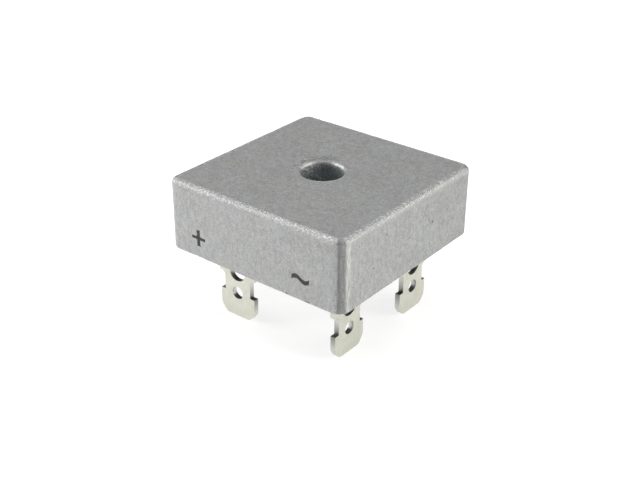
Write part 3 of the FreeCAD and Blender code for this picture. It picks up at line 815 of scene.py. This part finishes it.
def roll_edges(bm, flat):
    """Roll the cut edges over, a quarter turn in three steps along both flats of the sheet."""
    for height in (11.0, 11.2):
        bmesh.ops.bisect_plane(bm, geom=bm.verts[:] + bm.edges[:] + bm.faces[:], dist=1e-5,
                               plane_co=(0, 0, height), plane_no=(0, 0, 1))
    bm.normal_update()

    def spot(v):
        return tuple(round(c, 4) for c in v.co)

    outward, facing, pairs = {}, {}, []
    rims = rim_edges(bm, flat, 11.3)
    levels = [pick(v.co[flat] for e in rims for v in e.verts) for pick in (max, min)]
    for e in rims:
        side = min(e.link_faces, key=lambda f: abs(f.normal[flat]))
        for v in e.verts:
            outward.setdefault(spot(v), []).append((side.normal.copy(), e.calc_length()))
            facing[spot(v)] = Vector((0, 0, 0))
            facing[spot(v)][flat] = math.copysign(1.0, v.co[flat] - sum(levels) / 2)
        pairs.append((spot(e.verts[0]), spot(e.verts[1])))
    flats = [[f for f in bm.faces if all(abs(v.co[flat] - level) < 1e-3 and v.co.z < 11.3 for v in f.verts)] for level in levels]
    flat_faces = set(flats[0] + flats[1])
    bmesh.ops.split_edges(bm, edges=rims)
    on_flat, on_side = {}, {}
    for v in bm.verts:
        if spot(v) in outward:
            for f in v.link_faces:
                (on_flat if f in flat_faces else on_side)[spot(v)] = v

    # how far each corner rolls: less where the outline turns tightly, nothing where a run ends inside the resin
    roll, lean = {}, {}
    for k, both in outward.items():
        if len(both) < 2 or on_flat[k] is on_side[k]:
            roll[k], lean[k] = 0.0, both[0][0]
            continue
        (n1, l1), (n2, l2) = both
        way = (n1 + n2).normalized()
        lean[k] = way / max(way.dot(n1), 0.4)
        roll[k] = min(ROLL, 0.4 * min(l1, l2) / max(math.tan(n1.angle(n2, 0.0) / 2), 1e-3))
    for _ in range(12):
        for a, b in pairs:
            allowed = 0.4 * (Vector(a) - Vector(b)).length
            roll[a] = min(roll[a], roll[b] + allowed)
            roll[b] = min(roll[b], roll[a] + allowed)

    rows = {}
    for k, r in roll.items():
        if on_flat[k] is on_side[k]:
            rows[k] = [on_flat[k]] * 4
            continue
        p = on_flat[k].co.copy()
        centre = p - lean[k] * r - facing[k] * r
        between = [bm.verts.new(centre + lean[k] * r * math.sin(math.radians(a)) + facing[k] * r * math.cos(math.radians(a)))
                   for a in (30, 60)]
        on_flat[k].co = p - lean[k] * r
        on_side[k].co = p - facing[k] * r
        rows[k] = [on_flat[k]] + between + [on_side[k]]
    for a, b in pairs:
        for i in range(3):
            corners = []
            for v in (rows[a][i], rows[a][i + 1], rows[b][i + 1], rows[b][i]):
                if v not in corners:
                    corners.append(v)
            if len(corners) > 2:
                bm.faces.new(corners)

    # the two flats are filled again inside their new outlines
    for faces, level in zip(flats, levels):
        bmesh.ops.delete(bm, geom=faces, context="FACES")
        loops = [e for e in bm.edges if len(e.link_faces) == 1 and all(abs(v.co[flat] - level) < 1e-3 for v in e.verts)]
        corners = list(dict.fromkeys(v for e in loops for v in e.verts))
        number = {v: i for i, v in enumerate(corners)}
        points = [Vector((v.co[1 - flat], v.co.z)) for v in corners]
        lines = [(number[e.verts[0]], number[e.verts[1]]) for e in loops]
        filled = geometry.delaunay_2d_cdt(points, lines, [], 1, 1e-6)
        new = []
        for ring in filled[2]:
            ring = [filled[3][i][0] for i in ring]
            mid = sum((points[i] for i in ring), Vector((0, 0))) / len(ring)
            crossed = 0
            for i, j in lines:
                a, b = points[i], points[j]
                if (a.y > mid.y) != (b.y > mid.y) and mid.x < a.x + (b.x - a.x) * (mid.y - a.y) / (b.y - a.y):
                    crossed += 1
            if crossed % 2:
                new.append(bm.faces.new([corners[i] for i in ring]))
        fresh = set(new)
        inner = [e for e in dict.fromkeys(e for f in new for e in f.edges) if all(f in fresh for f in e.link_faces)]
        bmesh.ops.recalc_face_normals(bm, faces=bm.faces[:])
        bmesh.ops.dissolve_limit(bm, angle_limit=math.radians(0.5), verts=[], edges=inner)
    bmesh.ops.recalc_face_normals(bm, faces=bm.faces[:])


def build_tab(source, along_x):
    """The stamped sheet with its cut edges rolled over a little."""
    bm = bmesh.new()
    bm.from_mesh(source)
    for v in bm.verts:
        v.co /= MM
    bmesh.ops.remove_doubles(bm, verts=bm.verts, dist=1e-4)
    bmesh.ops.dissolve_limit(bm, angle_limit=math.radians(0.6), verts=bm.verts, edges=bm.edges)
    bm.normal_update()
    finer_outline(bm, 0 if along_x else 1, 1 if along_x else 0)
    roll_edges(bm, 1 if along_x else 0)
    bm.normal_update()
    cut = bm.verts.layers.float.new("cut")
    ledge_shade = bm.verts.layers.float.new("ledge_shade")
    flat = 1 if along_x else 0
    for v in bm.verts:
        v[cut] = 0.0
        v[ledge_shade] = 0.0
    wide = 1 - flat
    middle = sum(v.co[wide] for v in bm.verts if v.co.z < 6.0) / sum(1 for v in bm.verts if v.co.z < 6.0)
    for f in bm.faces:
        if abs(f.normal[flat]) < 0.5 and f.calc_center_median().z < 12.0:
            up = smooth(0.35, 0.85, f.normal.z)
            # the painted shade on the outer shoulder is half as strong as on the other
            off = f.calc_center_median()[wide] - middle
            if (-off if along_x else off) > 2.0:
                up *= 0.5
            for v in f.verts:
                v[cut] = 1.0
                v[ledge_shade] = max(v[ledge_shade], up)
    for v in bm.verts:
        v.co *= MM
    bm.normal_update()
    shade(bm, 50)
    open_edges = sum(1 for e in bm.edges if len(e.link_faces) != 2)
    print("tab faces", len(bm.faces), "open edges", open_edges)
    return bm


# ------------------------------------------------------------------ make it all
case_skin = case_material()
tab_skin = tab_material()
resin_skin = resin_material()

shell = new_object("case_shell", build_case(), case_skin)
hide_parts("case")
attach(shell, "root")

fill = new_object("resin_fill", build_resin(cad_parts["potting"].data), resin_skin)
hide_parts("potting")
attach(fill, "root")

for node, (cx, cy, along_x) in TABS.items():
    tab = new_object(node.replace("terminal", "tab"), build_tab(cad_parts[node].data, along_x), tab_skin)
    keep = tab.modifiers.new("even_normals", "WEIGHTED_NORMAL")
    keep.mode = "FACE_AREA"
    keep.keep_sharp = True
    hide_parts(node)
    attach(tab, "root")

inner_skins = {"insulator_plate": ceramic_material()}
silicon = die_material()
solder = solder_material()
for node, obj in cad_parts.items():
    if node.startswith("diode_"):
        inner_skins[node] = silicon
    elif node.startswith("solder_"):
        inner_skins[node] = solder
for node, skin in inner_skins.items():
    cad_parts[node].material_slots[0].material = skin

# ------------------------------------------------------------------ floor
bm = bmesh.new()
bmesh.ops.create_grid(bm, x_segments=24, y_segments=24, size=1.6)
floor = new_object("pale_floor", bm, floor_material())


# ------------------------------------------------------------------ light
def softbox(name, where, width, height, power, colour=(1, 1, 1), target=(0, 0, 0.012)):
    data = bpy.data.lights.new(name, "AREA")
    data.shape = "RECTANGLE"
    data.size = width
    data.size_y = height
    data.energy = power
    data.color = colour
    obj = bpy.data.objects.new(name, data)
    obj.location = where
    obj.rotation_euler = (Vector(target) - Vector(where)).to_track_quat("-Z", "Y").to_euler()
    bpy.context.scene.collection.objects.link(obj)
    return obj


softbox("overhead_softbox", (-0.05, 0.05, 0.62), 0.60, 0.60, 2.13)
softbox("left_softbox", (-0.50, -0.29, 0.26), 0.40, 0.34, 2.20, (1.0, 1.0, 0.985))
softbox("right_softbox", (0.52, 0.27, 0.26), 0.40, 0.34, 2.0, (1.0, 1.0, 0.93))

world = bpy.data.worlds.new("studio")
world.use_nodes = True
world.node_tree.nodes["Background"].inputs["Color"].default_value = (0.98, 0.99, 1.0, 1.0)
world.node_tree.nodes["Background"].inputs["Strength"].default_value = 0.22
bpy.context.scene.world = world

bpy.context.scene.view_settings.view_transform = "Standard"
bpy.context.scene.view_settings.look = "None"
bpy.context.scene.view_settings.exposure = 0.0
bpy.context.scene.view_settings.gamma = 1.0

# ------------------------------------------------------------------ camera
# The photo's view: turned 38.3 degrees from the -Y face and 28.3 degrees above the floor.
azimuth, elevation, roll = (math.radians(v) for v in (38.279, 28.301, 0.442))
distance, aside, below = 146.211, -0.277, -5.025
back = Vector((math.sin(azimuth) * math.cos(elevation), -math.cos(azimuth) * math.cos(elevation), math.sin(elevation)))
level_right = Vector((math.cos(azimuth), math.sin(azimuth), 0))
level_up = back.cross(level_right)
right = level_right * math.cos(roll) + level_up * math.sin(roll)
up = level_up * math.cos(roll) - level_right * math.sin(roll)
eye = (Vector((0, 0, 5.5 + RIM)) + back * distance + right * aside + up * below) * MM
data = bpy.data.cameras.new("photo_view")
data.sensor_fit = "HORIZONTAL"
data.sensor_width = 36.0
data.lens = 61.875
data.clip_start = 0.005
data.clip_end = 10.0
camera = bpy.data.objects.new("photo_view", data)
camera.matrix_world = Matrix((
    (right.x, up.x, back.x, eye.x),
    (right.y, up.y, back.y, eye.y),
    (right.z, up.z, back.z, eye.z),
    (0, 0, 0, 1),
))
bpy.context.scene.collection.objects.link(camera)
bpy.context.scene.camera = camera

# ------------------------------------------------------------------ update
bpy.context.view_layer.update()
